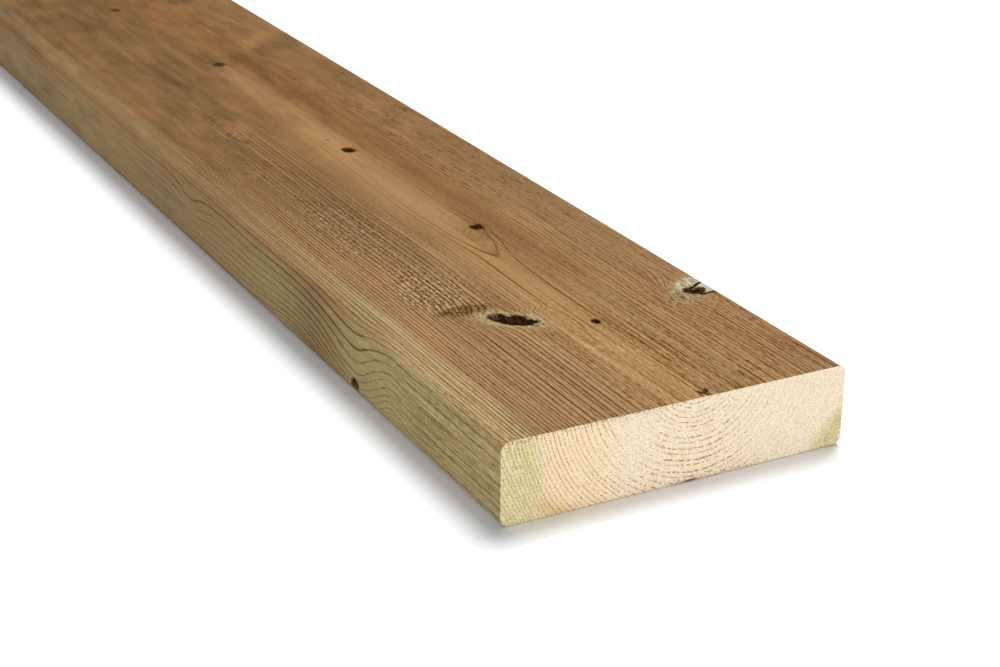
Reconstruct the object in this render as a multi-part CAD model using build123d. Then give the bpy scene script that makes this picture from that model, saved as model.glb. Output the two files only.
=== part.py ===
from build123d import *
import os

# A planed softwood plank, lying flat on one wide face.
# X runs along its length with the fresh-cut end at +X, Y across its width, Z up.
# The origin is the middle of the face that it lies on. Lengths are in millimetres, turns in degrees.

# The stock: one rounded section, cut square at both ends
plank_length = 2400.0
plank_width = 200.0
plank_thickness = 45.0
arris_radius = 5.0

# The dead knots, which have shrunk below the upper face
dead_knot_length = 27.0
dead_knot_width = 14.0
dead_knot_depth = 1.8

# The pin knots along the heart of the stem
pin_knot_length = 11.0
pin_knot_width = 9.0
pin_knot_depth = 0.9

# The knot that the planer tore, beside the right upper arris
torn_knot_length = 30.0
torn_knot_width = 21.0
torn_knot_depth = 1.4

# The knot that comes out low on the left edge
edge_knot_length = 13.0
edge_knot_width = 9.0
edge_knot_depth = 0.8

# Places: along from the fresh-cut end, across from the left edge, and a size beside the largest.
# A dead knot also has the turn of its long axis from the plank's length.
dead_knot_shares = (
    (0.0542, 0.380, 1.00, 45.0),
    (0.5750, 0.285, 0.80, -30.0),
)
pin_knot_shares = (
    (0.0450, 0.575, 0.55),
    (0.1117, 0.625, 0.85),
    (0.1833, 0.585, 0.95),
    (0.2833, 0.570, 0.90),
    (0.3667, 0.480, 0.80),
    (0.4790, 0.530, 0.70),
    (0.6620, 0.560, 0.90),
    (0.7710, 0.510, 0.65),
    (0.8920, 0.545, 0.85),
)
torn_knot_along_share = 0.0510
torn_knot_across_share = 0.930
edge_knot_along_share = 0.0710
edge_knot_up_share = 0.13


def along(share):
    """The X of a place that far along the plank from its fresh-cut end."""
    return plank_length / 2 - share * plank_length


def across(share):
    """The Y of a place that far across the plank from its left edge."""
    return share * plank_width - plank_width / 2


def bowl(length, width, depth):
    """An oval hollow about the origin: its rim lies in XY, and it is as deep below as it is high above."""
    return scale(Sphere(1.0), by=(length / 2, width / 2, depth))


def stock():
    """The bare plank: a rectangle with rounded long arrises, and square saw-cut ends."""
    resting = (Align.CENTER, Align.CENTER, Align.MIN)
    blank = Box(plank_length, plank_width, plank_thickness, align=resting)
    return fillet(blank.edges().filter_by(Axis.X), arris_radius)


def dead_knots():
    """The large oval knots of the upper face."""
    hollows = []
    for along_share, across_share, size_share, turn in dead_knot_shares:
        oval = bowl(dead_knot_length * size_share, dead_knot_width * size_share, dead_knot_depth)
        place = Pos(along(along_share), across(across_share), plank_thickness)
        hollows.append(place * Rot(0, 0, turn) * oval)
    return hollows


def pin_knots():
    """The small round knots, one after another along the heart of the upper face."""
    hollows = []
    for along_share, across_share, size_share in pin_knot_shares:
        oval = bowl(pin_knot_length * size_share, pin_knot_width * size_share, pin_knot_depth)
        hollows.append(Pos(along(along_share), across(across_share), plank_thickness) * oval)
    return hollows


def torn_knot():
    """The knot that runs out at the right upper arris, dished where its wood broke away."""
    oval = bowl(torn_knot_length, torn_knot_width, torn_knot_depth)
    return Pos(along(torn_knot_along_share), across(torn_knot_across_share), plank_thickness) * oval


def edge_knot():
    """The knot low on the left edge, shrunk a little into it."""
    oval = bowl(edge_knot_length, edge_knot_width, edge_knot_depth)
    place = Pos(along(edge_knot_along_share), -plank_width / 2, edge_knot_up_share * plank_thickness)
    return place * Rot(90, 0, 0) * oval


def plank():
    """The whole plank: the stock with each knot's hollow taken out of it."""
    solid = stock()
    for hollow in dead_knots() + pin_knots() + [torn_knot(), edge_knot()]:
        solid = solid - hollow
    return solid


os.makedirs("parts", exist_ok=True)
export_step(plank(), "parts/plank.step")
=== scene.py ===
# %% [markdown]
# # A planed plank of treated softwood
# The object is one sawn piece of softwood. Its long faces were planed and its long arrises rounded,
# then it was treated, which left the outside brown and olive. Its end was cut after that and shows the
# pale wood inside. The grain on every face is a cut through the same growth rings, so this lesson writes
# the rings once, as maths, and uses them for the colour of each face and for the shape of each knot.

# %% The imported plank, its box and the imports
import math

import bpy
import numpy as np
from mathutils import Euler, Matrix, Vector


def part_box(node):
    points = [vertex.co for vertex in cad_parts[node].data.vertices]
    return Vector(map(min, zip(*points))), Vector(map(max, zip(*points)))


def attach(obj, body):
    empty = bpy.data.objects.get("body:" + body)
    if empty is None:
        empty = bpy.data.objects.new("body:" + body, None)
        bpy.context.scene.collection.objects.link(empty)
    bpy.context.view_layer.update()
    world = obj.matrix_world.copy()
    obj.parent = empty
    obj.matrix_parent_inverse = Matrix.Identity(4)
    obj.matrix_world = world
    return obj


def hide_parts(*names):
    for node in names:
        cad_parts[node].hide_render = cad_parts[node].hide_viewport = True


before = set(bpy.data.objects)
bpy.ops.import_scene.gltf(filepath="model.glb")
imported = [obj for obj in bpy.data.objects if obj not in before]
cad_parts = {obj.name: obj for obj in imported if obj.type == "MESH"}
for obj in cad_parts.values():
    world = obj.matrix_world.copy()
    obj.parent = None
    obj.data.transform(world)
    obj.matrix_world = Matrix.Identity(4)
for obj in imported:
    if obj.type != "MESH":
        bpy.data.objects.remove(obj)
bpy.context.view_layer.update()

MILLIMETRE = 0.001
plank_low, plank_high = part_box("plank")
near_end = plank_high.x / MILLIMETRE
length = (plank_high.x - plank_low.x) / MILLIMETRE
width = (plank_high.y - plank_low.y) / MILLIMETRE
thickness = (plank_high.z - plank_low.z) / MILLIMETRE
print("plank of", round(length), "x", round(width), "x", round(thickness), "mm")

# %% [markdown]
# ## The camera
# The photograph looks down on the fresh-cut end from its left, with a long lens. A camera could be set by
# eye, but straight edges fix it better: these values come from fitting a pinhole camera to the plank's
# long edges and to the outline of its end. Blender's sensor is 36 mm wide by default.

# %% Camera at the photograph's place
CAMERA_PLACE = Vector((1.9359, -0.4935, 0.4593))
CAMERA_TURN = Euler((math.radians(66.783), math.radians(-0.384), math.radians(62.098)))
CAMERA_LENS = 71.46

camera_data = bpy.data.cameras.new("photograph_camera")
camera_data.lens = CAMERA_LENS
camera = bpy.data.objects.new("photograph_camera", camera_data)
camera.location = CAMERA_PLACE
camera.rotation_euler = CAMERA_TURN
bpy.context.scene.collection.objects.link(camera)
bpy.context.scene.camera = camera
print("camera at", tuple(round(v, 3) for v in camera.location), "lens", CAMERA_LENS)

# %% [markdown]
# ## Writing node trees as sums
# The wood needs a lot of arithmetic, both in its material and in its shape. Nodes could be placed one by
# one, but sums read better. A Value wraps a socket, and Python's operators on it add Math nodes.
# A Graph wraps a tree, and its add method adds any other node. Math nodes are the same in a material and
# in Geometry Nodes, so a recipe written this way serves in both.

# %% Values and graphs
class Value:
    """A number or vector that a node gives. Operators on a number add Math nodes."""

    def __init__(self, graph, socket):
        self.graph = graph
        self.socket = socket

    def __add__(self, other):
        return self.graph.math("ADD", self, other)

    def __sub__(self, other):
        return self.graph.math("SUBTRACT", self, other)

    def __rsub__(self, other):
        return self.graph.math("SUBTRACT", other, self)

    def __mul__(self, other):
        return self.graph.math("MULTIPLY", self, other)

    def __truediv__(self, other):
        return self.graph.math("DIVIDE", self, other)

    def __rtruediv__(self, other):
        return self.graph.math("DIVIDE", other, self)

    __radd__ = __add__
    __rmul__ = __mul__


class Graph:
    """A node tree to write in."""

    def __init__(self, tree):
        self.tree = tree

    def add(self, kind, settings, sockets, output=0):
        """Adds a node. Its settings come first, then a plain number or a Value for each socket."""
        node = self.tree.nodes.new(kind)
        for name, setting in settings.items():
            setattr(node, name, setting)
        for key, given in sockets.items():
            if isinstance(given, Value):
                self.tree.links.new(given.socket, node.inputs[key])
            else:
                node.inputs[key].default_value = given
        if node.outputs:
            return Value(self, node.outputs[output])

    def math(self, operation, *numbers):
        return self.add("ShaderNodeMath", {"operation": operation}, dict(enumerate(numbers)))

    def vector(self, operation, first, second, output=0):
        return self.add("ShaderNodeVectorMath", {"operation": operation}, {0: first, 1: second}, output)


# %% Functions that take a number or a Value
def sine(angle):
    return angle.graph.math("SINE", angle) if isinstance(angle, Value) else math.sin(angle)


def exponential(power):
    return power.graph.math("EXPONENT", power) if isinstance(power, Value) else math.exp(power)


def root(square):
    return square.graph.math("SQRT", square) if isinstance(square, Value) else math.sqrt(square)


def larger(first, second):
    return first.graph.math("MAXIMUM", first, second) if isinstance(first, Value) else max(first, second)


def smaller(first, second):
    return first.graph.math("MINIMUM", first, second) if isinstance(first, Value) else min(first, second)


def bell(value, centre, reach):
    """1 at the centre, about a third at the reach and soon 0 past it."""
    away = (value - centre) * (1 / reach)
    return exponential(away * away * -1)


# %% Functions that take a Value
def smooth(value, low, high):
    """0 at low and 1 at high, with a gentle start and stop. Low may be above high."""
    sockets = {"Value": value, "From Min": low, "From Max": high}
    return value.graph.add("ShaderNodeMapRange", {"interpolation_type": "SMOOTHSTEP"}, sockets)


def noise(spot, sizes, detail=2.0, offset=0.0):
    """Cloudy noise about 0, mostly from -1 to 1, whose lumps measure the given millimetres each way."""
    shares = tuple(1 / size for size in sizes)
    moved = spot.graph.add(
        "ShaderNodeVectorMath",
        {"operation": "MULTIPLY_ADD"},
        {0: spot, 1: shares, 2: (offset, offset, offset)},
    )
    cloud = spot.graph.add("ShaderNodeTexNoise", {}, {"Vector": moved, "Scale": 1.0, "Detail": detail})
    return cloud * 4 - 2


def climb(value, steps):
    """The sum of several smooth steps, each with its start, its stop and its height."""
    total = 0
    for start, stop, height in steps:
        total = smooth(value, start, stop) * height + total
    return total


print("helpers ready")

# %% [markdown]
# ## The growth rings
# A tree adds a cone of wood each year, so the rings are tubes about the pith. The saw left this pith about
# 15 mm above the upper face, a little right of its middle, so the end shows hanging arcs and the upper face
# is plain down its middle. The years are about 3 mm wide, and narrower near the pith and far from it. The
# recipe counts years from the pith: each whole number is the dark edge of a year.

# %% The pith and the ring count
MIDDLE_YEAR = 3.15
INNER_YEAR = 2.6
INNER_STOP = 33.0
OUTER_YEAR = 2.26
OUTER_START = 70.0
PITH_ACROSS = 111.0
PITH_WANDER_REACH = 45.0
PITH_SWAY, SWAY_LENGTH, SWAY_START = 1.2, 170, 2.0
PITH_BEND, BEND_ALONG, BEND_REACH = 5.0, 258, 50
PITH_HEIGHT = 15.5
PITH_DIP, DIP_ALONG, DIP_PAST, DIP_BEFORE = 5.5, 265, 107, 32
HEIGHT_SWAY, HEIGHT_SWAY_LENGTH = 0.3, 230


def pith_wander(along):
    """How far the pith strays to the right of its line."""
    sway = PITH_SWAY * sine(along / SWAY_LENGTH - SWAY_START)
    return sway + PITH_BEND * bell(along, BEND_ALONG, BEND_REACH)


def pith_rise(along):
    """How far the pith lies above the upper face: less by the second pin knot, whose branch drew it down."""
    past = along - DIP_ALONG
    reach = larger(past, 0) * (1 / DIP_PAST) + smaller(past, 0) * (1 / DIP_BEFORE)
    dip = PITH_DIP * exponential(reach * reach * -1)
    return PITH_HEIGHT - dip + HEIGHT_SWAY * sine(along / HEIGHT_SWAY_LENGTH)


def ring_count(radius):
    """Years from the pith out to a radius."""
    inner = smaller(radius, INNER_STOP) * (1 / INNER_YEAR - 1 / MIDDLE_YEAR)
    outer = larger(radius - OUTER_START, 0) * (1 / OUTER_YEAR - 1 / MIDDLE_YEAR)
    return radius * (1 / MIDDLE_YEAR) + inner + outer


def pith_radius(along, across, up):
    """How far a place is from the pith, square to the plank's length."""
    aside = across - PITH_ACROSS - pith_wander(along) * bell(across, PITH_ACROSS, PITH_WANDER_REACH)
    below = thickness + pith_rise(along) - up
    return root(aside * aside + below * below)


print("rings at the left edge:", round(ring_count(pith_radius(0.0, 0.0, thickness)), 1))

# %% [markdown]
# ## The knots
# A knot is the foot of a branch, and the grain runs round it as water runs round a post. Each knot here is
# an oval: a place along the plank from the fresh-cut end and across it from the left edge, half its size
# each way, and a turn. The rings' count is eased towards the count at the knot's middle, by the rule for
# a stream round a post, so that the lines part before the knot and close behind it.

# %% Knots of this plank, in millimetres and degrees
PIN_KNOTS = (
    (108, 115, 3.2, 2.7),
    (268, 125, 4.9, 4.2),
    (440, 117, 5.3, 4.5),
    (680, 114, 5.1, 4.3),
    (880, 96, 4.5, 3.9),
    (1150, 106, 4.0, 3.4),
    (1589, 112, 5.0, 4.2),
    (1850, 102, 3.7, 3.1),
    (2141, 109, 4.8, 4.0),
)
DEAD_KNOTS = (
    (130, 76, 13.5, 7.0, 45),
    (1380, 57, 10.8, 5.6, -30),
)
TORN_KNOT = (122.4, 186.0, 15.0, 10.5)
EDGE_KNOT = (170.4, 0.0, 6.5, 4.5)
EDGE_KNOT_UP = 5.8
KNOT_DEPTH_BELOW = 14.0
KNOT_PULL_STOP = 4.2


def at(along, across, up):
    """A place in the part's own frame, in millimetres."""
    return (near_end - along, across - width / 2, up)


def oval(spot, centre, half_sizes, turn=0.0):
    """How far a spot is from an oval's centre: 0 there and 1 at its rim."""
    away = spot.graph.vector("SUBTRACT", spot, centre)
    if turn:
        turning = {"Vector": away, "Angle": math.radians(-turn)}
        away = spot.graph.add("ShaderNodeVectorRotate", {"rotation_type": "Z_AXIS"}, turning)
    share = spot.graph.vector("DIVIDE", away, half_sizes)
    return spot.graph.vector("LENGTH", share, (0, 0, 0), output=1)


def nearest(distances):
    """The smallest of several Values."""
    least = distances[0]
    for distance in distances[1:]:
        least = smaller(least, distance)
    return least


print(len(PIN_KNOTS), "pin knots,", len(DEAD_KNOTS), "dead knots, a torn knot and an edge knot")

# %% The wood at a spot: its rings, and how near it is to each kind of knot
BROAD_WANDER = ((420, 70, 70), 1.0, 3.1)
FINE_WANDER = ((40, 7, 7), 2.0, 7.7)
WANDER_START = (22, 45)
EDGE_LEAN = 0.065
EDGE_LEAN_REACH = 26.0
EDGE_DIVE_PAST = 58
EDGE_DIVE_BEFORE = 28
# Each crowding has its place past the edge knot, its reach, how fast it fades upwards, and its years
EDGE_CROWDS = ((82, 48, 16, 3.8), (-48, 13, 17, 2.6))


class Wood:
    """What the plank's wood is like at a spot, written into the spot's own node tree."""

    def __init__(self, place):
        self.graph = place.graph
        scaling = {"Vector": place, "Scale": 1 / MILLIMETRE}
        self.spot = self.graph.add("ShaderNodeVectorMath", {"operation": "SCALE"}, scaling)
        apart = {"Vector": self.spot}
        lengthwise, sideways, self.up = (
            self.graph.add("ShaderNodeSeparateXYZ", {}, apart, axis) for axis in range(3)
        )
        self.along = near_end - lengthwise
        self.across = sideways + width / 2
        self.from_end = length / 2 - self.graph.math("ABSOLUTE", self.along - length / 2)
        self.aside = self.across - PITH_ACROSS - pith_wander(self.along)
        self.radius = pith_radius(self.along, self.across, self.up)
        wander = noise(self.spot, *BROAD_WANDER) * 1.2 + noise(self.spot, *FINE_WANDER) * 0.18
        self.rings = ring_count(self.radius + wander * smooth(self.radius, *WANDER_START))
        self.find_knots()
        self.rings = self.rings + self.edge_lean()

    def edge_lean(self):
        """The rings lean at both edges. At the left one they dive into its knot and crowd about it."""
        below = thickness - self.up
        sides = smooth(self.across, EDGE_LEAN_REACH, 0) + smooth(self.across, width - EDGE_LEAN_REACH, width)
        past = self.along - EDGE_KNOT[0]
        reach = larger(past, 0) * (1 / EDGE_DIVE_PAST) + smaller(past, 0) * (1 / EDGE_DIVE_BEFORE)
        dive = exponential(reach * reach * -1) * (1.3 + 2.2 * bell(self.up, 11, 18))
        second = bell(self.along, 430, 28) * bell(self.up, 25, 15) * 1.4
        crowd = 0
        for middle, spread, height, years in EDGE_CROWDS:
            crowd = bell(past, middle, spread) * exponential(self.up * (-1 / height)) * years + crowd
        return sides * below * EDGE_LEAN + smooth(self.across, 14, 0) * (crowd - dive - second)

    def part_round(self, away, along, across):
        """Leads the rings round a knot of the upper face, and leaves those further off as they are."""
        years = ring_count(pith_radius(along, across, thickness))
        outside = larger(away, 1)
        pull = smooth(outside, KNOT_PULL_STOP, 1.5) / (outside * outside)
        self.rings = years + (self.rings - years) * (1 - pull)

    def find_knots(self):
        """Measures how far the spot is from each kind of knot, and leads the rings round each."""
        pins = []
        for along, across, half_long, half_wide in PIN_KNOTS:
            half_sizes = (half_long, half_wide, KNOT_DEPTH_BELOW)
            pins.append(oval(self.spot, at(along, across, thickness), half_sizes))
            self.part_round(pins[-1], along, across)
        dead = []
        for along, across, half_long, half_wide, turn in DEAD_KNOTS:
            half_sizes = (half_long, half_wide, KNOT_DEPTH_BELOW)
            dead.append(oval(self.spot, at(along, across, thickness), half_sizes, turn))
            self.part_round(dead[-1], along, across)
        along, across, half_long, half_wide = TORN_KNOT
        self.torn = oval(self.spot, at(along, across, thickness), (half_long, half_wide, KNOT_DEPTH_BELOW))
        self.part_round(self.torn, along, across)
        along, across, half_long, half_high = EDGE_KNOT
        self.edge = oval(self.spot, at(along, across, EDGE_KNOT_UP), (half_long, KNOT_DEPTH_BELOW, half_high))
        self.pin = nearest(pins)
        self.dead = nearest(dead)


print("the wood's rings lean by", EDGE_LEAN, "of a year a millimetre at the edges")

# %% [markdown]
# ## The blank
# The plank's mesh is a rounded section carried along its length and closed at both ends. A cube with a
# bevel would have that shape, but too few points to hold the knots. This grid has its points closest where
# the knots are. It stays one closed skin, and its map unrolls the skin so that the rings get the most room.

# %% Places that crowd together near the knots
ARRIS_RADIUS = 5.0
ARRIS_STEPS = 3
CUT_CHAMFER = 0.4
CLOSE_ALONG, WIDE_ALONG, GROWTH_ALONG = 2.1, 18.0, 0.22
CLOSE_ACROSS, WIDE_ACROSS, GROWTH_ACROSS = 1.2, 2.8, 0.05
HEART_ACROSS, HEART_REACH = 96, 34
UP_PLACES = 15
FINE_PLACES = 6001
END_STRETCH = (3, 3)


def graded(start, stop, spacing):
    """Places from start to stop, as far apart as the spacing function says."""
    fine = np.linspace(start, stop, FINE_PLACES)
    density = 1 / spacing(fine)
    count = np.concatenate([[0], np.cumsum((density[1:] + density[:-1]) / 2 * np.diff(fine))])
    steps = int(round(count[-1]))
    return np.interp(np.linspace(0, count[-1], steps + 1), count, fine)


def spacing_along(places):
    """Close beside a knot and by the fresh-cut end, and growing away from them."""
    knots = PIN_KNOTS + DEAD_KNOTS + (TORN_KNOT, EDGE_KNOT)
    close = [(knot[0], knot[2]) for knot in knots] + [END_STRETCH]
    gaps = [np.maximum(np.abs(places - along) - reach, 0) for along, reach in close]
    return np.clip(CLOSE_ALONG + GROWTH_ALONG * np.min(gaps, axis=0), CLOSE_ALONG, WIDE_ALONG)


def spacing_across(places):
    """Close over the knots of the heart, and growing towards the edges."""
    from_heart = np.maximum(np.abs(places + width / 2 - HEART_ACROSS) - HEART_REACH, 0)
    return np.clip(CLOSE_ACROSS + GROWTH_ACROSS * from_heart, CLOSE_ACROSS, WIDE_ACROSS)


rows = near_end - graded(CUT_CHAMFER, length - CUT_CHAMFER, spacing_along)
half_width = width / 2
flat_across = graded(ARRIS_RADIUS - half_width, half_width - ARRIS_RADIUS, spacing_across)
flat_up = np.linspace(ARRIS_RADIUS, thickness - ARRIS_RADIUS, UP_PLACES)
print(len(rows), "rows,", len(flat_across), "places across and", len(flat_up), "up")


# %% The section's outline and the places on its ends
def half_arc(across, up, start, stop):
    """Points on half of an arris, from one angle to another, in degrees."""
    angles = np.radians(np.linspace(start, stop, ARRIS_STEPS + 1))
    return np.stack([across + ARRIS_RADIUS * np.cos(angles), up + ARRIS_RADIUS * np.sin(angles)], axis=1)


def section_sides():
    """The upper and left sides of the outline, each from the middle of one arris to the next."""
    left, right = ARRIS_RADIUS - half_width, half_width - ARRIS_RADIUS
    low, high = ARRIS_RADIUS, thickness - ARRIS_RADIUS
    level = np.stack([flat_across, np.full_like(flat_across, thickness)], axis=1)
    upright = np.stack([np.full_like(flat_up, -half_width), flat_up], axis=1)
    upper = np.concatenate([half_arc(left, high, 135, 90)[:-1], level, half_arc(right, high, 90, 45)[1:]])
    side = np.concatenate([half_arc(left, low, 225, 180)[:-1], upright, half_arc(left, high, 180, 135)[1:]])
    return upper, side


def outline(upper, side):
    """The whole outline, clockwise as seen from the fresh-cut end, from the left upper arris."""
    lower = upper * (1, -1) + (0, thickness)
    other = side * (-1, 1)
    return np.concatenate([upper[:-1], other[::-1][:-1], lower[::-1][:-1], side[:-1]])


def cap_places(upper, side):
    """Places over the whole section, as a grid that meets the outline."""
    lower = upper * (1, -1) + (0, thickness)
    other = side * (-1, 1)
    u = ((upper[:, 0] - upper[0, 0]) / (upper[-1, 0] - upper[0, 0]))[:, None, None]
    v = ((side[:, 1] - side[0, 1]) / (side[-1, 1] - side[0, 1]))[None, :, None]
    between = (1 - v) * lower[:, None] + v * upper[:, None] + (1 - u) * side[None] + u * other[None]
    corners = (1 - u) * (1 - v) * lower[0] + u * (1 - v) * lower[-1]
    corners = corners + (1 - u) * v * upper[0] + u * v * upper[-1]
    return between - corners


print("section of", len(outline(*section_sides())), "points")

# %% The closed mesh and its map
SKIN_MAP_HEIGHT = 0.9
END_MAP_SIZE = (0.49, 0.09)
END_MAP_PLACES = ((0.005, 0.906), (0.505, 0.906))


def skin_faces(ring_ids):
    """The faces of the long sides, and their corners on the map."""
    last, around = len(ring_ids) - 1, len(ring_ids[0])
    faces = []
    corners_uv = []
    for row in range(last):
        for column in range(around):
            beside = (column + 1) % around
            faces.append((ring_ids[row, column], ring_ids[row, beside],
                          ring_ids[row + 1, beside], ring_ids[row + 1, column]))
            left, right = column / around, (column + 1) / around
            near, far = SKIN_MAP_HEIGHT * row / last, SKIN_MAP_HEIGHT * (row + 1) / last
            corners_uv.extend([(left, near), (right, near), (right, far), (left, far)])
    return faces, corners_uv


def cap_ids(ring, start, wide, high):
    """The points of an end as a grid: its rim from the ring, and its inside counted from the start."""
    ids = np.zeros((wide, high), int)
    ids[:, -1] = ring[:wide]
    ids[-1, ::-1] = ring[wide - 1:wide - 1 + high]
    ids[::-1, 0] = ring[wide + high - 2:2 * wide + high - 2]
    ids[0, :-1] = ring[2 * wide + high - 3:]
    ids[1:-1, 1:-1] = start + np.arange((wide - 2) * (high - 2)).reshape(wide - 2, high - 2)
    return ids


def cap_faces(ids, share, place, turned):
    """The faces of an end, and their corners on the map."""
    faces = []
    corners_uv = []
    for i in range(len(ids) - 1):
        for j in range(len(ids[0]) - 1):
            spots = [(i, j), (i + 1, j), (i + 1, j + 1), (i, j + 1)]
            if turned:
                spots.reverse()
            faces.append([ids[s] for s in spots])
            corners_uv.extend(share[s] * END_MAP_SIZE + place for s in spots)
    return faces, corners_uv


def blank_mesh(name):
    """The plank as one closed skin, with a map of its long faces and, above them, of its two ends."""
    upper, side = section_sides()
    loop = outline(upper, side)
    around = len(loop)
    middle = np.array((0, thickness / 2))
    inset = 1 - CUT_CHAMFER / np.array((half_width, thickness / 2))
    ends = (near_end, near_end - length)
    stations = np.concatenate([[ends[0]], rows, [ends[1]]])
    points = []
    for number, station in enumerate(stations):
        at_end = number in (0, len(stations) - 1)
        ring = middle + (loop - middle) * inset if at_end else loop
        points.append(np.column_stack([np.full(around, station), ring]))
    ring_ids = np.arange(len(stations) * around).reshape(len(stations), around)
    faces, corners_uv = skin_faces(ring_ids)
    cap = middle + (cap_places(upper, side) - middle) * inset
    share = cap / (width, thickness) + (0.5, 0)
    inner = cap[1:-1, 1:-1].reshape(-1, 2)
    for number, station in enumerate(ends):
        ring = ring_ids[-1] if number else ring_ids[0]
        ids = cap_ids(ring, ring_ids.size + number * len(inner), len(upper), len(side))
        points.append(np.column_stack([np.full(len(inner), station), inner]))
        end_faces, end_corners_uv = cap_faces(ids, share, END_MAP_PLACES[number], turned=number == 1)
        faces.extend(end_faces)
        corners_uv.extend(end_corners_uv)
    mesh = bpy.data.meshes.new(name)
    mesh.from_pydata(np.concatenate(points) * MILLIMETRE, [], [tuple(int(i) for i in f) for f in faces])
    uv_map = mesh.uv_layers.new(name="OFBake")
    uv_map.data.foreach_set("uv", np.array(corners_uv, dtype=np.float32).ravel())
    mesh.update()
    return mesh


blank = bpy.data.objects.new("treated_plank", blank_mesh("blank"))
bpy.context.scene.collection.objects.link(blank)
print("blank:", len(blank.data.vertices), "points,", len(blank.data.polygons), "faces")

# %% [markdown]
# ## The material
# Softwood's colour comes from its rings: pale wood grown in spring, then a dark line grown in summer.
# The long faces are browned by treatment and weather, with an olive strip of sapwood along the left edge.
# The cut ends show the fresh colours. A picture could be laid on, but it would stretch and repeat. Here one
# number, the depth of colour, runs from 0 for the palest wood to 1 for the darkest. Year lines, fibres,
# flecks and stains add to it, and each kind of wood has the two colours that it runs between.

# %% The palest and the darkest colour of each kind of wood, tints, and the knots' colours
TREATED_HEART = ((0.485, 0.303, 0.147), (0.15, 0.055, 0.006))
TREATED_SAP = ((0.62, 0.495, 0.25), (0.185, 0.116, 0.030))
FRESH_HEART = ((0.98, 0.85, 0.65), (0.50, 0.225, 0.05))
FRESH_SAP = ((0.90, 0.78, 0.475), (0.35, 0.245, 0.07))
RED_TINT = (1.02, 0.943, 0.935)
AGED_TINT = (0.99, 0.935, 0.88)
WARM_TINT = (1.06, 0.965, 0.92)
GOLD_TINT = (1.0, 0.983, 0.915)
FLANK_TINT = (1.02, 0.965, 0.935)
DRY_TINT = (1.0, 1.012, 1.07)
PALE_TINT = (0.985, 1.03, 1.14)
GREEN_TINT = (0.965, 0.99, 0.90)
BROWN_TINT = (0.95, 0.84, 0.80)
AGED_SAP_TINT = (1.0, 0.90, 0.93)
FRESH_LEFT_TINT = (1.0, 0.97, 0.88)
SOILED_TINT = (0.83, 0.79, 0.60)
GLINT = (0.78, 0.70, 0.50)
KNOT_DARK = (0.018, 0.006, 0.001)
KNOT_BROWN = (0.11, 0.043, 0.011)
BARK_BROWN = (0.11, 0.036, 0.013)
KNOT_HALO = (0.57, 0.52, 0.28)
PALE_HALO = (0.70, 0.67, 0.45)
BROKEN_WOOD = (0.72, 0.61, 0.46)
EDGE_KNOT_BROWN = (0.16, 0.095, 0.040)


def mixed(factor, first, second, blend="MIX"):
    """A colour between two, each a Value or plain numbers."""
    sockets = {0: factor}
    for key, colour in ((6, first), (7, second)):
        sockets[key] = colour if isinstance(colour, Value) else (*colour, 1.0)
    return factor.graph.add("ShaderNodeMix", {"data_type": "RGBA", "blend_type": blend}, sockets, output=2)


def tinted(factor, colour, tint):
    """A colour multiplied by a tint, by as much as the factor says."""
    return mixed(factor, colour, tint, "MULTIPLY")


def shaded(colour, amount):
    """A colour made lighter or darker by a factor."""
    scaling = {"Vector": colour, "Scale": amount}
    return colour.graph.add("ShaderNodeVectorMath", {"operation": "SCALE"}, scaling)


print("colours of two kinds of wood, treated and fresh")

# %% Masks that the plank's colour and fine relief share
LEFT_STRIP = 18.0
LEFT_STRIP_BULGE = 4.5
RIGHT_STRIP_TOP = 25.0
RIGHT_STRIP_SLOPE = 0.85
YEAR_SHIFT = 0.25
SUMMER_START, SUMMER_STOP = (0.28, 0.58), (0.74, 0.66)
THIN_START, THIN_STOP = (0.44, 0.62), (0.74, 0.69)
MARK_DEPTH = 6.0
# Each noise has its lumps' size along, across and up in millimetres, its detail and an offset of its own
GRAIN_NOISES = {
    "fibre": ((90, 0.65, 0.65), 2.0, 0.0),
    "fleck": ((5, 0.6, 0.6), 2.0, 21.0),
    "crumb": ((2.2, 1.7, 1.7), 2.0, 51.0),
    "dash": ((28, 0.9, 0.9), 1.0, 31.0),
    "streak": ((160, 7, 7), 2.0, 11.0),
    "cloud": ((240, 60, 60), 2.0, 5.0),
    "blotch": ((42, 20, 20), 2.0, 8.0),
    "grit": ((0.9, 0.9, 0.9), 2.0, 2.0),
    "lump": ((5, 5, 5), 1.0, 14.0),
    "smear": ((36, 6, 6), 2.0, 91.0),
}
SPECK_NOISE = ((9, 2.2, 2.2), 1.0, 95.0)
BEAD_NOISE = ((3.2, 1.6, 1.6), 0.0, 25.0)
LEFT_FADE = ((240, 370, 0.46), (420, 600, 0.46))
RIGHT_FADE = ((90, 230, 0.34), (240, 360, 0.30), (420, 620, 0.22))
SIDE_FADE = ((260, 420, 0.32), (420, 600, 0.38))


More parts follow.
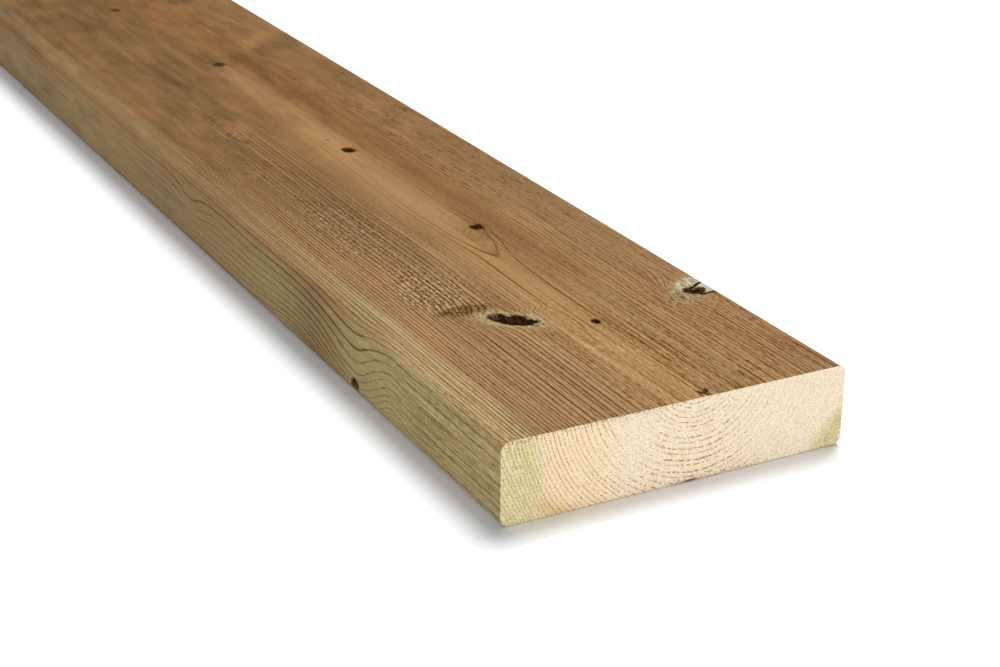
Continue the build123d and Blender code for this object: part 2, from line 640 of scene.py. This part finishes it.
class Finish:
    """The plank's masks: its year lines, its fibres and flecks, its sapwood and its sawn ends."""

    def __init__(self, wood):
        self.wood = wood
        graph, spot = wood.graph, wood.spot
        share = graph.math("FRACT", wood.rings)
        self.year = graph.math("FLOOR", wood.rings)
        self.year_tone = graph.add("ShaderNodeTexWhiteNoise", {"noise_dimensions": "1D"}, {"W": self.year})
        moved = share - self.year_tone * YEAR_SHIFT
        self.summer = smooth(moved, *SUMMER_START) * smooth(moved, *SUMMER_STOP)
        self.thin = smooth(moved, *THIN_START) * smooth(moved, *THIN_STOP)
        for name, recipe in GRAIN_NOISES.items():
            setattr(self, name, noise(spot, *recipe))
        self.speck = smooth(noise(spot, *SPECK_NOISE), 0.3, 0.7)
        self.from_pith = graph.math("ABSOLUTE", wood.aside)
        self.side = smooth(wood.across, 6, 1) + smooth(wood.across, width - 6, width - 1)
        self.right = smooth(wood.aside, -6, 16) * (1 - self.side)
        self.upper = smooth(wood.up, thickness - 5, thickness - 1)
        self.beads = smooth(noise(spot, *BEAD_NOISE), -0.05, 0.35)
        self.cut = smooth(wood.from_end + self.grit * 0.15, 0.55, 0.35)
        self.sap = self.sapwood()
        self.clear = self.clearness()

    def sapwood(self):
        """A strip down the left edge, and the lower corner of the right one."""
        wood = self.wood
        height = wood.up * (1 / thickness)
        left = LEFT_STRIP + height * (1 - height) * (4 * LEFT_STRIP_BULGE) - wood.across
        left = left - smooth(wood.along, 220, 420) * 2.5
        right = wood.across - width + (RIGHT_STRIP_TOP - wood.up) * RIGHT_STRIP_SLOPE
        ragged = self.streak * 1.2 + self.lump * 0.9 + self.fibre * 0.8 + self.grit * self.cut * 1.6
        soft = 2.8 + self.cut * 2.2
        return smooth(larger(left, right) + ragged, soft * -1, soft)

    def clearness(self):
        """How clear the grain is: 1 by the fresh-cut end, and less where the plank has weathered more."""
        along = self.wood.along
        faded = climb(along, LEFT_FADE) * (1 - self.right) + climb(along, RIGHT_FADE) * self.right
        faded = faded * (1 - self.side) + climb(along, SIDE_FADE) * self.side
        return 1 - faded * smooth(along, 1500, 1050)


def upper_oval(finish, along, across, half_long, half_wide, turn=0.0):
    """How far a spot is from an oval on the upper face."""
    return oval(finish.wood.spot, at(along, across, thickness), (half_long, half_wide, MARK_DEPTH), turn)


print("sapwood strip of", LEFT_STRIP, "mm")

# %% The depth of colour of the planed faces
PLANED_DEPTH = 0.40
SUMMER_SHARE = 0.34
THIN_SHARE = 0.19
DASH_SHARE = 0.22
SPECK_SHARE = 0.15
YEAR_STRENGTH, RIGHT_YEAR_LOSS, PITH_YEAR_STRENGTH = 0.75, 0.30, 0.07
PITH_LINE_STRENGTH, LOOP_STRENGTH, NEST_STRENGTH = 0.48, 0.24, 0.48
FIBRE_STRENGTH, FLECK_STRENGTH, SPECK_STRENGTH = 0.44, 0.36, 0.36
PITH_YEARS = (5, 6)
TORN_GRAIN = (188, 53, 42, 27)
FAR_GRAIN = (300, 54, 90, 26)
LOOPS = (256, 118.5, 6.0, 3.4)
NEST = (143, 70, 17, 34)
NEST_SPACING = 3.1
NEST_SHARE = 0.3


def year_depth(finish):
    """What the year lines add: clear lines on the left, short dashes on the right, little at the pith."""
    grown = smooth(finish.from_pith, 20, 44)
    band = (finish.summer - SUMMER_SHARE) * (1 - finish.side) + (finish.thin - THIN_SHARE) * finish.side
    crowded = bell(finish.wood.along, 218, 40) * finish.side
    near = 1 + smooth(finish.wood.along, 150, 60) * 0.5 * (1 - finish.side)
    faint = finish.side * (smooth(finish.wood.along, 150, 80) * 0.10 + 0.53)
    sides = YEAR_STRENGTH - finish.right * RIGHT_YEAR_LOSS
    strength = grown * sides * (near - faint + crowded * 0.95) + PITH_YEAR_STRENGTH
    broken = finish.streak * 0.3 + finish.dash * (0.6 - finish.side * 0.25) + finish.fibre * 0.3
    patchy = finish.smear * smooth(finish.wood.along, 260, 380) * (1 - finish.side) * 0.9
    breaks = larger(1 + broken + patchy, 0)
    lines = band * strength * (finish.year_tone * 0.8 + 0.65) * breaks
    dashes = (smooth(finish.dash, 0.1, 0.8) - DASH_SHARE) * finish.right * grown * 0.6
    return lines + dashes


def pith_depth(finish):
    """Thin lines of two years, beside the pith, and small loops below a pin knot."""
    graph = finish.wood.graph
    away = nearest([graph.math("ABSOLUTE", finish.year - year) for year in PITH_YEARS])
    lines = finish.thin * smooth(away, 0.6, 0.4) * smooth(finish.from_pith, 30, 16)
    lines = lines * (0.25 + smooth(finish.wood.along, 360, 280) * 0.75) * larger(0.9 + finish.streak * 0.5, 0)
    loop = upper_oval(finish, *LOOPS) + finish.lump * 0.22
    loops = bell(loop, 1.0, 0.14) + bell(loop, 1.75, 0.14)
    return lines * PITH_LINE_STRENGTH + loops * LOOP_STRENGTH


def nest_depth(finish):
    """Thin lines that come down the far side of the first dead knot and close on its rim."""
    along, across = finish.wood.along, finish.wood.across
    start, middle, bend, reach = NEST
    aside = (across - middle + finish.streak * 0.6) * (1 / reach)
    past = larger(start - along, 0) * (1 / bend)
    arch = root(aside * aside + past * past)
    lines = bell(finish.wood.graph.math("FRACT", arch * (reach / NEST_SPACING)), 0.5, 0.2)
    shown = smooth(arch, 1.03, 0.94) * smooth(across, 79, 86) * smooth(along, 235, 165)
    return (lines - NEST_SHARE) * shown * finish.upper * NEST_STRENGTH


def torn_area(finish):
    """Where the planer tore the grain: most beside the large knot, and less past it."""
    near_area = smooth(upper_oval(finish, *TORN_GRAIN) + finish.lump * 0.2, 1.15, 0.45)
    far_area = smooth(upper_oval(finish, *FAR_GRAIN) + finish.lump * 0.25, 1.15, 0.4) * 0.45
    return larger(near_area, far_area)


def torn_depth(finish):
    """Torn grain has pale beads between dark year lines."""
    return torn_area(finish) * (finish.summer * 0.5 - finish.beads * 0.75 + 0.30)


def fine_depth(finish):
    """What the fibres and flecks add: least at the heart and the edges, most by the fresh-cut end."""
    along = finish.wood.along
    calm = bell(finish.wood.across, 106, 19) * (0.25 + smooth(along, 90, 190) * 0.6)
    near = smooth(along, 160, 60)
    rough = 1.25 + finish.right * (near * 0.45 + 0.30) + near * 0.6 - finish.side * 0.7 - calm
    return (finish.fibre * FIBRE_STRENGTH + finish.fleck * FLECK_STRENGTH) * rough


def weathered_depth(finish):
    """Dark flecks where the plank has weathered: in a row left of the heart, and over the right part."""
    along, across = finish.wood.along, finish.wood.across
    places = (bell(across, 55, 15) + smooth(across, 142, 158) * 0.85) * finish.upper
    stretch = smooth(along, 250, 350) * smooth(along, 660, 500)
    return (finish.speck - SPECK_SHARE) * places * stretch * SPECK_STRENGTH


def treated_depth(finish):
    """The whole depth of colour of the planed faces."""
    grain = finish.clear * (year_depth(finish) + fine_depth(finish))
    lines = pith_depth(finish) + nest_depth(finish)
    return grain + PLANED_DEPTH + lines + torn_depth(finish) + weathered_depth(finish)


print("thin lines in years", PITH_YEARS)

# %% The colour of the planed faces
GLINTS = (250, 42, 130, 32)
STAIN = (153, 59, 6.5, 17)
STAIN_BROWN = (0.10, 0.037, 0.004)
GLINT_NOISE = ((2.4, 1.1, 1.1), 1.0, 41.0)
# A start before the plank and a fade past it, for a band that has none
NO_START = (-2, -1)
NO_FADE = (length + 1, length + 2)
# Each band has its middle and reach across, where along it starts and is full, where it fades and is gone,
# and its gain
TONE_BANDS = (
    (8, 9, *NO_START, *NO_FADE, -0.08),
    (8, 9, *NO_START, 60, 170, 0.14),
    (64, 17, 110, 230, 380, 540, -0.10),
    (104, 18, *NO_START, 410, 540, 0.29),
    (104, 18, 240, 330, 410, 540, 0.08),
    (115, 11, 240, 310, 640, 700, 0.24),
    (115, 11, 430, 520, 640, 700, -0.09),
    (136, 10, 110, 230, *NO_FADE, -0.05),
    (136, 10, 110, 230, 280, 400, -0.08),
)


def far_tone(finish):
    """Light and shade about and past the third pin knot: of the heart, the left and two bars across."""
    along, across = finish.wood.along, finish.wood.across
    slant = larger(across - 130, 0) * 0.6
    right_share = 0.07 + smooth(across, 120, 160) * 0.07
    cross_shade = bell(along - slant, 688, 16) * smooth(across, 5, 60) * right_share
    cross_glow = bell(along - (across - 150) * 0.9, 722, 14) * smooth(across, 138, 165) * 0.22
    glow_half = 13.5 - smooth(along, 450, 680) * 6.0
    from_glow = finish.wood.graph.math("ABSOLUTE", across - 112 + finish.streak * 0.8)
    heart_stretch = smooth(along, 410, 500) * smooth(along, 690, 640)
    heart_glow = smooth(from_glow - glow_half, 3.5, -3.5) * heart_stretch * 0.25
    heart_shade = (bell(across, 80, 22) + bell(across, 132, 9)) * bell(along, 635, 45) * 0.14
    left_stretch = smooth(along, 750, 800) * smooth(along, 1100, 950)
    left_shade = smooth(across, 125, 100) * left_stretch * 0.11
    return heart_glow + cross_glow - cross_shade - heart_shade - left_shade


def treated_tone(finish):
    """Broad light and shade on the planed faces, about 1."""
    along, across = finish.wood.along, finish.wood.across
    upper = far_tone(finish)
    for middle, reach, start, full, fade, gone, gain in TONE_BANDS:
        stretch = smooth(along, start, full) * smooth(along, gone, fade)
        upper = bell(across, middle, reach) * stretch * gain + upper
    left_edge = smooth(across, 60, 20)
    side = bell(along, 222, 36) * left_edge * 0.25 + smooth(along, 110, 300) * 0.23
    side = side + smooth(along, 620, 800) * smooth(along, 1300, 1000) * 0.11 - smooth(along, 160, 90) * 0.06
    # Darker further from the fresh-cut end, on the upper face and on the sides.
    darker_along = smooth(along, 90, 380) * (0.23 - finish.right * 0.05) * (1 - finish.side) + side * finish.side
    blotches = finish.blotch * (0.07 + smooth(along, 380, 620) * 0.07)
    smears = finish.smear * smooth(along, 330, 520) * (0.15 - finish.side * 0.09)
    clouds = finish.streak * 0.06 + finish.cloud * 0.07 + blotches + smears
    return 1 + upper * finish.upper - darker_along + clouds


def heart_colour(finish, depth):
    """The heartwood of the planed faces: redder on the left, golden to the right, pale about the pith."""
    wood = finish.wood
    red_area = larger(smooth(wood.across, 95, 60), smooth(wood.along, 400, 560))
    pale_stretch = smooth(wood.along, 230, 320) * smooth(wood.along, 720, 600)
    tints = (
        (smooth(finish.blotch + finish.cloud * 0.6, 0.0, 0.9) * red_area, RED_TINT),
        (smooth(wood.across, 70, 115), GOLD_TINT),
        (bell(wood.across, 140, 16) * smooth(wood.along, 110, 200), FLANK_TINT),
        (bell(wood.across, 134, 9) * smooth(wood.along, 200, 300), FLANK_TINT),
        (bell(wood.across, 114, 13) * pale_stretch, PALE_TINT),
        (smooth(wood.across, 150, 172), DRY_TINT),
        (smooth(wood.along, 150, 520), AGED_TINT),
        (bell(wood.along, 82, 62) * smooth(wood.across, 135, 172), WARM_TINT),
    )
    colour = mixed(depth, *TREATED_HEART)
    for factor, tint in tints:
        colour = tinted(factor, colour, tint)
    return colour


def sap_colour(finish, depth, heart):
    """The sapwood of the planed faces: olive, and browner high on the edges and behind the edge knot."""
    wood = finish.wood
    colour = mixed(finish.upper * (finish.blotch * 0.15 + 0.35), mixed(depth, *TREATED_SAP), heart)
    colour = tinted(smooth(wood.along, 110, 460), colour, AGED_SAP_TINT)
    brown_top = smooth(wood.up, 24, 42) * smooth(wood.along, 100, 220) * 0.7
    brown_knot = bell(wood.along, 215, 45) * smooth(wood.across, 60, 20) * 1.2
    brown = smooth(finish.blotch + finish.streak * 0.6 + brown_knot + brown_top, 0.2, 1.2)
    return tinted(brown * finish.side, colour, BROWN_TINT)


def treated_colour(finish, depth):
    """The planed faces, browned and greened by treatment and weather, with painted glints and a stain."""
    heart = heart_colour(finish, depth)
    sap = sap_colour(finish, depth, heart)
    colour = shaded(mixed(finish.sap, heart, sap), treated_tone(finish))
    # The glints are painted highlights: pale specks put into the colour of the upper face.
    glints = smooth(noise(finish.wood.spot, *GLINT_NOISE), 0.66, 0.95)
    glints = glints * smooth(upper_oval(finish, *GLINTS), 1.2, 0.5) * 0.8
    beads = torn_area(finish) * finish.beads * (1 - finish.summer) * 0.22
    colour = mixed(larger(glints, beads), colour, GLINT)
    stain = smooth(upper_oval(finish, *STAIN) + finish.lump * 0.35 + finish.crumb * 0.2, 1.35, 0.6)
    crumbs = smooth(finish.crumb * 0.8 + finish.summer * 0.7 + finish.grit * 0.4, -0.75, 0.55)
    return mixed(stain * crumbs, colour, STAIN_BROWN)


print("treated faces with", len(TONE_BANDS), "bands of light and shade")

# %% The sawn ends
END_DASH_NOISE = ((2.0, 3.2, 1.4), 2.0, 4.0)
END_SPECK_NOISE = ((0.8, 0.9, 0.8), 1.0, 17.0)
LEVEL_SAW_NOISE = ((3, 12, 0.8), 1.0, 6.0)
UPRIGHT_SAW_NOISE = ((3, 0.7, 9), 1.0, 16.0)


def fresh_depth(finish):
    """Year lines on the cut: clear on the left, short dashes in the middle, and hardly any on the right."""
    wood = finish.wood
    lower = 1 - wood.up * (1 / thickness)
    left = smooth(wood.across + lower * 14, 76, 48)
    right = smooth(wood.across, 120, 150)
    dashes = smooth(noise(wood.spot, *END_DASH_NOISE), -0.45, 0.55)
    plain = 1 - bell(wood.across, 74, 14) * smooth(lower, 0.92, 0.65) * 0.8
    middle = (1 - left) * (1 - right) * dashes * (0.62 + lower * 0.65)
    band = finish.summer + (finish.thin - finish.summer) * left * 0.8
    lines = band * (left * 0.62 + right * 0.13 + middle) * plain
    lines = lines * (finish.year_tone * 0.7 + 0.6) * larger(1 + finish.grit * 0.8, 0)
    rough = 0.30 - right * 0.05 + bell(wood.across, 110, 50) * lower * 0.22
    return lines + finish.grit * rough + finish.lump * 0.05 + 0.09


def fresh_specks(finish):
    """Dark specks of torn fibre: along the upper edge's left half and along the lower edge."""
    wood = finish.wood
    low = smooth(wood.up, 6, 0.5) * bell(wood.across, 122, 50)
    high = smooth(wood.up, thickness - 4, thickness - 0.5) * smooth(wood.across, 112, 90)
    torn = smooth(noise(wood.spot, *END_SPECK_NOISE) + (low + high) * 0.5, 0.62, 0.95)
    sliver = smooth(wood.up, 1.6, 0.6) * bell(wood.across, 107.5, 4.5)
    return smaller(torn * (0.15 + (low + high) * 0.6) + sliver, 1)


def fresh_colour(finish):
    """The sawn ends: cream heartwood with orange year lines, and yellow-green sapwood with saw marks."""
    wood = finish.wood
    depth = fresh_depth(finish)
    heart = tinted(smooth(wood.across, 80, 45), mixed(depth, *FRESH_HEART), FRESH_LEFT_TINT)
    saw_marks = noise(wood.spot, *LEVEL_SAW_NOISE) + noise(wood.spot, *UPRIGHT_SAW_NOISE)
    sap_depth = (finish.summer - SUMMER_SHARE) * 0.38 + saw_marks * 0.20 + finish.grit * 0.36 + 0.33
    green = bell(wood.across, 17, 9) * bell(wood.up, 26, 15) * 0.8
    sap = tinted(green, mixed(sap_depth, *FRESH_SAP), GREEN_TINT)
    colour = mixed(finish.sap, heart, sap)
    left_corner = smooth(wood.up + (wood.across - 24) * 0.5, 15, 5) * smooth(wood.across, 16, 24)
    right_corner = bell(wood.across, 196, 13) * finish.sap * 0.25
    colour = tinted(left_corner * 0.85 + right_corner, colour, SOILED_TINT)
    return mixed(fresh_specks(finish), colour, KNOT_BROWN)


print("fresh ends ready")

# %% The knots' colours
TORN_HALO = (123, 184.5, 25.0, 12.0, -47)
TORN_BROWN = ((126, 185.5, 2.8, 4.6, 30), (121.5, 188.5, 5.0, 4.8, 35))
TORN_CORE = (122.5, 198, 7.5, 8.0, 0)
TORN_CRACKS = ((128.4, 191.5, 1.0, 8.0, 21), (115.6, 192, 1.1, 8.5, -12))
DEAD_HALO_REACH = (10.0, 5.0)
RIM_NOISE = ((4.5, 1.3, 1.3), 1.0, 71.0)
TORN_FLECK_NOISE = ((2.6, 1.2, 1.2), 2.0, 61.0)


def dead_halo(finish):
    """The rim of each dead knot, longest at its two tips."""
    tips, sides = DEAD_HALO_REACH
    return nearest([
        upper_oval(finish, along, across, half_long + tips, half_wide + sides, turn)
        for along, across, half_long, half_wide, turn in DEAD_KNOTS
    ])


def knotted(finish, colour):
    """Paints the knots: dark hearts, and specks of pale green where the treatment soaked in."""
    wood = finish.wood
    ragged = finish.grit * 0.14 + finish.lump * 0.12
    specks = smooth(finish.crumb + finish.grit * 0.5, -0.3, 0.5) * 0.70 + 0.12
    halo = smooth(dead_halo(finish) + ragged * 2.2, 1.15, 0.72)
    colour = mixed(halo * specks, colour, KNOT_HALO)
    dark = mixed(smooth(finish.crumb + finish.fleck * 0.6, -0.1, 1.0) * 0.8, KNOT_DARK, KNOT_BROWN)
    colour = mixed(smooth(wood.pin + ragged, 1.6, 1.1) * 0.35, colour, KNOT_BROWN)
    shown = 1 - smooth(wood.along, 480, 880) * smooth(wood.along, 1150, 1000) * 0.55
    colour = mixed(smooth(wood.pin + ragged * 1.3, 1.14, 0.86) * shown, colour, dark)
    colour = mixed(smooth(wood.dead + ragged * 1.3, 1.15, 0.92), colour, dark)
    edge = mixed(smooth(finish.grit + finish.lump * 0.4, -0.5, 0.4), KNOT_DARK, EDGE_KNOT_BROWN)
    return mixed(smooth(wood.edge + ragged * 2.4, 0.95, 0.6), colour, edge)


def torn(finish, colour):
    """Paints the torn knot: a speckled rim, brown patches, cracks and pale broken wood at the arris."""
    ragged = finish.grit * 0.16 + finish.lump * 0.16
    specks = smooth(noise(finish.wood.spot, *RIM_NOISE) + finish.grit * 0.3, -0.45, 0.35)
    halo = smooth(upper_oval(finish, *TORN_HALO) + ragged, 1.15, 0.65)
    along, across = finish.wood.along, finish.wood.across
    pale = smooth(across + (along - 123) * 0.8, 174, 192)
    rim = mixed(pale, KNOT_HALO, PALE_HALO)
    colour = mixed(halo * (specks * 0.62 + 0.08 + pale * 0.22), colour, rim)
    flecks = smooth(noise(finish.wood.spot, *TORN_FLECK_NOISE), 0.0, 0.35)
    colour = mixed(halo * flecks * (0.35 + smooth(along, 128, 114) * 0.55), colour, KNOT_BROWN)
    core = smooth(upper_oval(finish, *TORN_CORE) + ragged, 1.1, 0.8)
    colour = mixed(core * (specks * 0.3 + 0.65), colour, BROKEN_WOOD)
    for patch in TORN_BROWN:
        bark = mixed(smooth(finish.crumb, -0.3, 0.4), KNOT_DARK, BARK_BROWN)
        colour = mixed(smooth(upper_oval(finish, *patch) + ragged * 2.2, 1.2, 0.9), colour, bark)
    for crack in TORN_CRACKS:
        colour = mixed(smooth(upper_oval(finish, *crack) + ragged * 2.4, 1.25, 0.7), colour, KNOT_DARK)
    return colour


print(len(TORN_CRACKS), "cracks in the torn knot")

# %% [markdown]
# ## Marks of handling
# The upper face has small scars, dots and scrapes. They could be separate pieces or pictures, but each is
# only a place where the wood is darker or paler. One table holds them: a place, half its size each way,
# a turn and how light it is beside the wood around it.

# %% Scars, dots and scrapes of the upper face
MARKS = (
    (5.2, 115.3, 3.6, 1.3, 35, 0.16),
    (6.8, 118.6, 2.4, 1.2, -25, 0.20),
    (3.0, 113.4, 1.6, 0.9, 0, 0.30),
    (61, 28, 1.1, 0.9, 0, 0.30),
    (27, 158, 1.1, 0.9, 0, 0.30),
    (14, 146, 1.2, 1.0, 0, 0.30),
    (413, 65, 2.2, 1.6, 0, 0.5),
    (424, 37, 1.8, 1.3, 0, 0.55),
    (467, 113, 2.4, 1.2, 20, 0.6),
    (75, 52, 52, 0.55, 0, 0.62),
    (75, 101, 41, 2.8, 52, 1.15),
    (890, 155, 16, 13, 0, 0.80),
    (560, 72, 26, 7, 0, 0.86),
)


def marked(finish, colour):
    """Lightens or darkens the wood at each mark."""
    ragged = finish.lump * 0.25 + finish.grit * 0.2
    amount = 1.0
    for along, across, half_long, half_wide, turn, gain in MARKS:
        away = upper_oval(finish, along, across, half_long, half_wide, turn)
        amount = (smooth(away + ragged, 1.3, 0.7) * (gain - 1) + 1) * amount
    return shaded(colour, amount)


print(len(MARKS), "marks")

# %% The whole finish
SPECULAR_LEVEL = 0.02
ROUGHNESS, SUMMER_SHEEN = 0.88, 0.12
FIBRE_RELIEF, CUT_RELIEF = 0.07, 0.16


def wood_material():
    """The whole finish of the plank."""
    material = bpy.data.materials.new("treated_softwood")
    material.use_nodes = True
    material.node_tree.nodes.clear()
    graph = Graph(material.node_tree)
    place = graph.add("ShaderNodeTexCoord", {}, {}, output=3)
    finish = Finish(Wood(place))
    depth = treated_depth(finish)
    planed = treated_colour(finish, depth)
    planed = torn(finish, knotted(finish, marked(finish, planed)))
    colour = mixed(finish.cut, planed, fresh_colour(finish))
    height = (finish.fibre + finish.fleck) * (1 - finish.cut) * -FIBRE_RELIEF
    height = height + finish.grit * finish.cut * CUT_RELIEF
    bump = graph.add("ShaderNodeBump", {}, {"Strength": 1.0, "Distance": MILLIMETRE, "Height": height})
    shine = {
        "Base Color": colour,
        "Roughness": ROUGHNESS - finish.summer * SUMMER_SHEEN,
        "Specular IOR Level": SPECULAR_LEVEL,
        "Normal": bump,
    }
    surface = graph.add("ShaderNodeBsdfPrincipled", {}, shine)
    graph.add("ShaderNodeOutputMaterial", {}, {"Surface": surface})
    return material


softwood = wood_material()
print("material with", len(softwood.node_tree.nodes), "nodes")

# %% [markdown]
# ## The knots' shape
# Dead knots dry and shrink below the planed face, and the planer tears wood out beside them. The blank
# could be sculpted, but the recipe already knows how far each point is from each knot. A Geometry Nodes tree
# reads it and moves each point along its normal, with a named depth for each kind of knot.

# %% A tree that sinks the knots
RELIEF_SIZES = {
    "Pin knot depth": 0.9,
    "Dead knot depth": 1.8,
    "Torn knot depth": 1.4,
    "Edge knot depth": 0.8,
    "End roughness": 0.12,
}
KNOT_LUMPS = ((4, 4, 4), 2.0)
END_LUMPS = ((3, 3, 3), 2.0, 9.0)


def relief_tree(name, sizes):
    """A tree with one named input for each size. Returns it and the inputs' identifiers."""
    tree = bpy.data.node_groups.new(name, "GeometryNodeTree")
    tree.interface.new_socket("Geometry", in_out="INPUT", socket_type="NodeSocketGeometry")
    tree.interface.new_socket("Geometry", in_out="OUTPUT", socket_type="NodeSocketGeometry")
    names = {}
    for size in sizes:
        socket = tree.interface.new_socket(size, in_out="INPUT", socket_type="NodeSocketFloat")
        names[size] = socket.identifier
    return tree, names


def write_relief(tree, sizes):
    """Fills the tree: how far each point sinks, and the nodes that move it and set the material."""
    graph = Graph(tree)
    entry = tree.nodes.new("NodeGroupInput")
    given = {name: Value(graph, entry.outputs[name]) for name in sizes}
    wood = Wood(graph.add("GeometryNodeInputPosition", {}, {}))
    lumps = noise(wood.spot, *KNOT_LUMPS)
    sunk = smooth(wood.pin, 1.05, 0.55) * given["Pin knot depth"]
    sunk = sunk + smooth(wood.dead + lumps * 0.12, 1.05, 0.6) * (1 + lumps * 0.2) * given["Dead knot depth"]
    sunk = sunk + smooth(wood.torn + lumps * 0.15, 1.0, 0.35) * (0.8 + lumps * 0.3) * given["Torn knot depth"]
    sunk = sunk + smooth(wood.edge + lumps * 0.1, 1.05, 0.5) * given["Edge knot depth"]
    rough = noise(wood.spot, *END_LUMPS) * 0.5 + 0.5
    sunk = sunk + smooth(wood.from_end, 0.3, 0.1) * rough * given["End roughness"]
    scaling = {"Vector": graph.add("GeometryNodeInputNormal", {}, {}), "Scale": sunk * -MILLIMETRE}
    inward = graph.add("ShaderNodeVectorMath", {"operation": "SCALE"}, scaling)
    stock = Value(graph, entry.outputs["Geometry"])
    moved = graph.add("GeometryNodeSetPosition", {}, {"Geometry": stock, "Offset": inward})
    real = graph.add("GeometryNodeRealizeInstances", {}, {"Geometry": moved})
    dressed = graph.add("GeometryNodeSetMaterial", {}, {"Geometry": real, "Material": softwood})
    leave = tree.nodes.new("NodeGroupOutput")
    tree.links.new(dressed.socket, leave.inputs["Geometry"])


relief, identifiers = relief_tree("plank_relief", RELIEF_SIZES)
write_relief(relief, RELIEF_SIZES)
carving = blank.modifiers.new("plank_relief", "NODES")
carving.node_group = relief
for size_name, size in RELIEF_SIZES.items():
    carving[identifiers[size_name]] = size
print("relief tree with", len(relief.nodes), "nodes")

# %% The carved plank as a plain mesh
SHARP_ANGLE = math.radians(30)

depsgraph = bpy.context.evaluated_depsgraph_get()
carved = bpy.data.meshes.new_from_object(blank.evaluated_get(depsgraph))
blank.modifiers.clear()
blank.data = carved
carved.name = "treated_plank"
carved.shade_smooth()
carved.set_sharp_from_angle(angle=SHARP_ANGLE)
triangles = sum(len(face.vertices) - 2 for face in carved.polygons)
print("carved plank:", triangles, "triangles, materials", [m.name for m in carved.materials])

# %% [markdown]
# ## The floor and the light
# The photograph's floor is white, with a soft shadow under the plank's left side and a thin one before its
# end. A broad sun from behind, right and above gives both, evenly along the whole plank. A low sun from the
# front lights the cut end and hardly reaches the floor, and a pale sky fills the rest. The floor is shown
# whiter to the camera than it is to the light, so that the page is white and the wood isn't lit more.

# %% Floor, suns and sky
FLOOR_DROP = 0.0002
FLOOR_REACH = 30.0
FLOOR_SEEN = (1.085, 1.11, 1.15)
FLOOR_LIT = 0.75
SUNS = (
    ("key_sun", Vector((-0.30, 0.295, 0.91)), 2.23, math.radians(25)),
    ("front_sun", Vector((0.90, -0.36, 0.12)), 2.44, math.radians(30)),
)
SKY_STRENGTH = 0.225
SKY_COLOUR = (0.95, 0.975, 1.0, 1.0)


def seen_directly(graph):
    """1 for what the camera sees, also in a gloss or through glass."""
    light_path = graph.tree.nodes.new("ShaderNodeLightPath")
    kinds = ("Camera", "Glossy", "Transmission")
    looks = [Value(graph, light_path.outputs[f"Is {kind} Ray"]) for kind in kinds]
    return larger(larger(looks[0], looks[1]), looks[2])


def floor_material():
    """A white that takes the plank's shadow."""
    material = bpy.data.materials.new("white_floor")
    material.use_nodes = True
    material.node_tree.nodes.clear()
    graph = Graph(material.node_tree)
    colour = mixed(seen_directly(graph), (FLOOR_LIT,) * 3, FLOOR_SEEN)
    surface = graph.add("ShaderNodeBsdfDiffuse", {}, {"Color": colour})
    graph.add("ShaderNodeOutputMaterial", {}, {"Surface": surface})
    return material


floor_mesh = bpy.data.meshes.new("floor")
floor_corners = [(-1, -1), (1, -1), (1, 1), (-1, 1)]
floor_points = [(x * FLOOR_REACH, y * FLOOR_REACH, -FLOOR_DROP) for x, y in floor_corners]
floor_mesh.from_pydata(floor_points, [], [(0, 1, 2, 3)])
floor_mesh.materials.append(floor_material())
floor = bpy.data.objects.new("floor", floor_mesh)
bpy.context.scene.collection.objects.link(floor)

for sun_name, sun_from, strength, spread in SUNS:
    sun_data = bpy.data.lights.new(sun_name, "SUN")
    sun_data.energy = strength
    sun_data.angle = spread
    sun = bpy.data.objects.new(sun_name, sun_data)
    sun.rotation_euler = sun_from.to_track_quat("Z", "Y").to_euler()
    bpy.context.scene.collection.objects.link(sun)

world = bpy.data.worlds.new("pale_sky")
bpy.context.scene.world = world
world.use_nodes = True
world.node_tree.nodes.clear()
sky = Graph(world.node_tree)
sky_strength = seen_directly(sky) * (1 - SKY_STRENGTH) + SKY_STRENGTH
sky_light = sky.add("ShaderNodeBackground", {}, {"Color": SKY_COLOUR, "Strength": sky_strength})
sky.add("ShaderNodeOutputWorld", {}, {"Surface": sky_light})
bpy.context.scene.view_settings.view_transform = "Standard"
print("floor,", len(SUNS), "suns and a sky")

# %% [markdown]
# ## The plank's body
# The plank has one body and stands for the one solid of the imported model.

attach(blank, "root")
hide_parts("plank")
